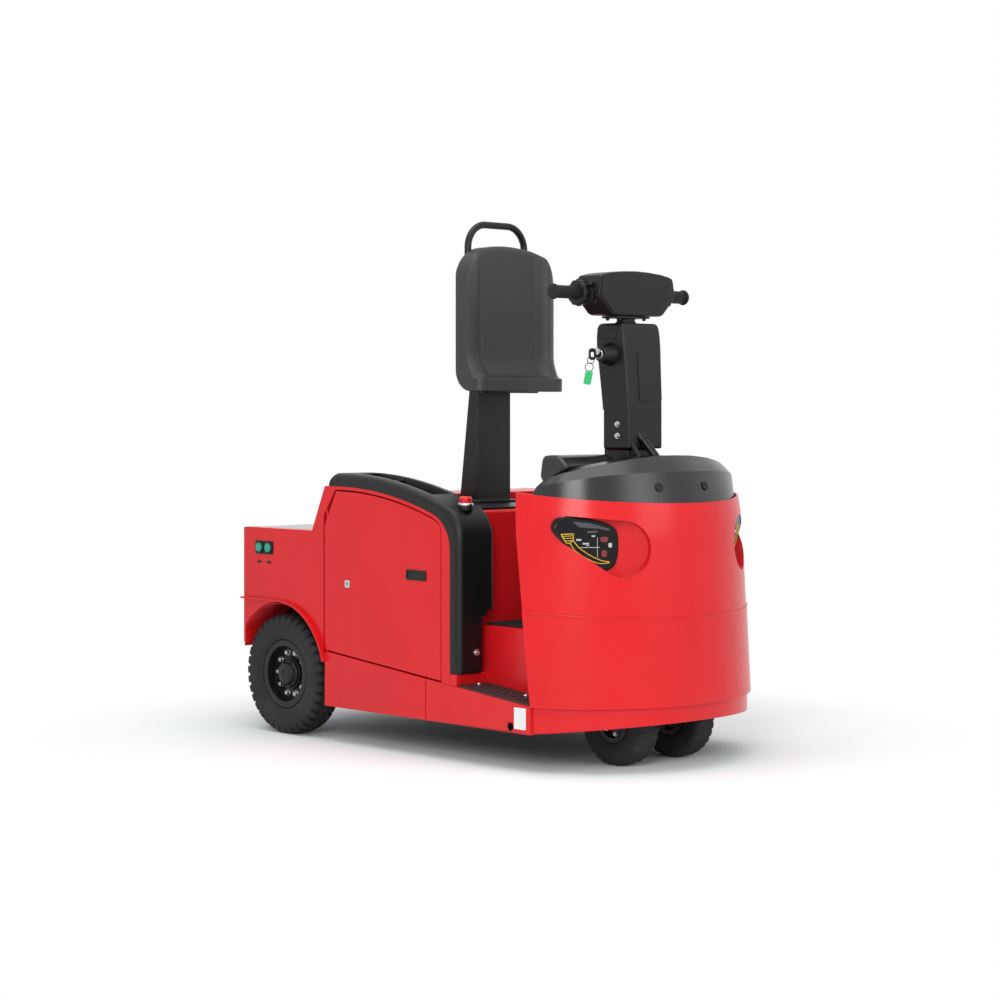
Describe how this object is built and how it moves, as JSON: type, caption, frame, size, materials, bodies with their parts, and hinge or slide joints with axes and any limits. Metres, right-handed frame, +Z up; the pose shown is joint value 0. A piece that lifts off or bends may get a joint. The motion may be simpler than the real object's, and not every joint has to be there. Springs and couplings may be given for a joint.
{
  "type": "airport tow tractor",
  "caption": "Stand-on electric tow tractor with a rounded cowl, tiller steering, lean seat on a post, side-access battery housing and a rear pin hitch for baggage trains.",
  "frame": {"origin": "on the ground, below the middle of the machine's overall box", "axes": "+X forward, +Y to the operator's left, +Z up"},
  "size_m": [1.866, 1, 1.769],
  "materials": {
    "body_red": "gloss paint",
    "black_plastic": "grained",
    "dash_plastic": "satin gloss",
    "black_steel": "satin paint",
    "step_steel": "anti-slip",
    "mat_rubber": "ribbed",
    "deck_steel": "anti-slip",
    "stop_red": "gloss",
    "seat_foam": "grained skin foam",
    "battery_case": "plain",
    "lamp_lens": "gloss",
    "bright_steel": "zinc plated",
    "button_green": "gloss",
    "tail_red": "gloss",
    "tyre": "moulded",
    "grip_rubber": "moulded"
  },
  "bodies": {
    "chassis": {"bumper_front": "body_red", "skirts_rear": "body_red", "skirts_front": "body_red", "operator_floor": "body_red", "bulkhead_panel": "body_red", "flank_panels": "body_red", "rear_walls": "body_red", "battery_cover": "body_red", "cowl_upper": "body_red", "cowl_lower": "body_red", "shoulder_cover": "black_plastic", "knee_panel": "black_plastic", "instrument_pod": "black_plastic", "column_cover": "black_plastic", "dash_shell": "dash_plastic", "chassis_frame": "black_steel", "wheelhouses": "black_steel", "seat_deck": "black_steel", "seat_post": "black_steel", "seat_handle": "black_steel", "drive_axle": "black_steel", "steering_column": "black_steel", "hitch_bracket": "black_steel", "step_plates": "step_steel", "floor_mat": "mat_rubber", "rear_deck": "deck_steel", "estop_button": "stop_red", "seat": "seat_foam", "battery_block": "battery_case", "headlamps": "lamp_lens", "key_switch": "bright_steel", "inch_buttons": "button_green", "tail_lamps": "tail_red"},
    "rear_wheel_right": {"rear_rim_right": "black_steel", "rear_tyre_right": "tyre"},
    "rear_wheel_left": {"rear_rim_left": "black_steel", "rear_tyre_left": "tyre"},
    "steer": {"steer_yoke": "black_steel"},
    "front_wheels": {"front_rims": "black_steel", "front_tyres": "tyre"},
    "tiller": {"tiller_head": "black_plastic", "tiller_grips": "grip_rubber"},
    "door_right": {"battery_door_right": "body_red"},
    "door_left": {"battery_door_left": "body_red"},
    "hitch_pin": {"tow_pin": "bright_steel"}
  },
  "joints": [
    {"name": "rear_wheel_right_turn", "type": "hinge", "parent": "chassis", "child": "rear_wheel_right", "pos_m": [-0.609, -0.421, 0.2075], "axis": [0, 1, 0], "continuous": true},
    {"name": "rear_wheel_left_turn", "type": "hinge", "parent": "chassis", "child": "rear_wheel_left", "pos_m": [-0.609, 0.421, 0.2075], "axis": [0, 1, 0], "continuous": true},
    {"name": "steering", "type": "hinge", "parent": "chassis", "child": "steer", "pos_m": [0.679, 0, 0.3], "axis": [0, 0, 1], "range_deg": [-75, 75]},
    {"name": "front_wheels_turn", "type": "hinge", "parent": "steer", "child": "front_wheels", "pos_m": [0.679, 0, 0.135], "axis": [0, 1, 0], "continuous": true},
    {"name": "tiller_turn", "type": "hinge", "parent": "chassis", "child": "tiller", "pos_m": [0.579, 0, 1.4], "axis": [0, 0, 1], "range_deg": [-60, 60]},
    {"name": "door_right_open", "type": "hinge", "parent": "chassis", "child": "door_right", "pos_m": [-0.359, -0.476, 0.5], "axis": [0, 0, -1], "range_deg": [0, 95]},
    {"name": "door_left_open", "type": "hinge", "parent": "chassis", "child": "door_left", "pos_m": [-0.359, 0.476, 0.5], "axis": [0, 0, 1], "range_deg": [0, 95]},
    {"name": "tow_pin_lift", "type": "slide", "parent": "chassis", "child": "hitch_pin", "axis": [0, 0, 1], "range_m": [0, 0.2]}
  ],
  "couplings": [
    {"joint": "tiller_turn", "follows": "steering", "ratio": 0.8}
  ]
}
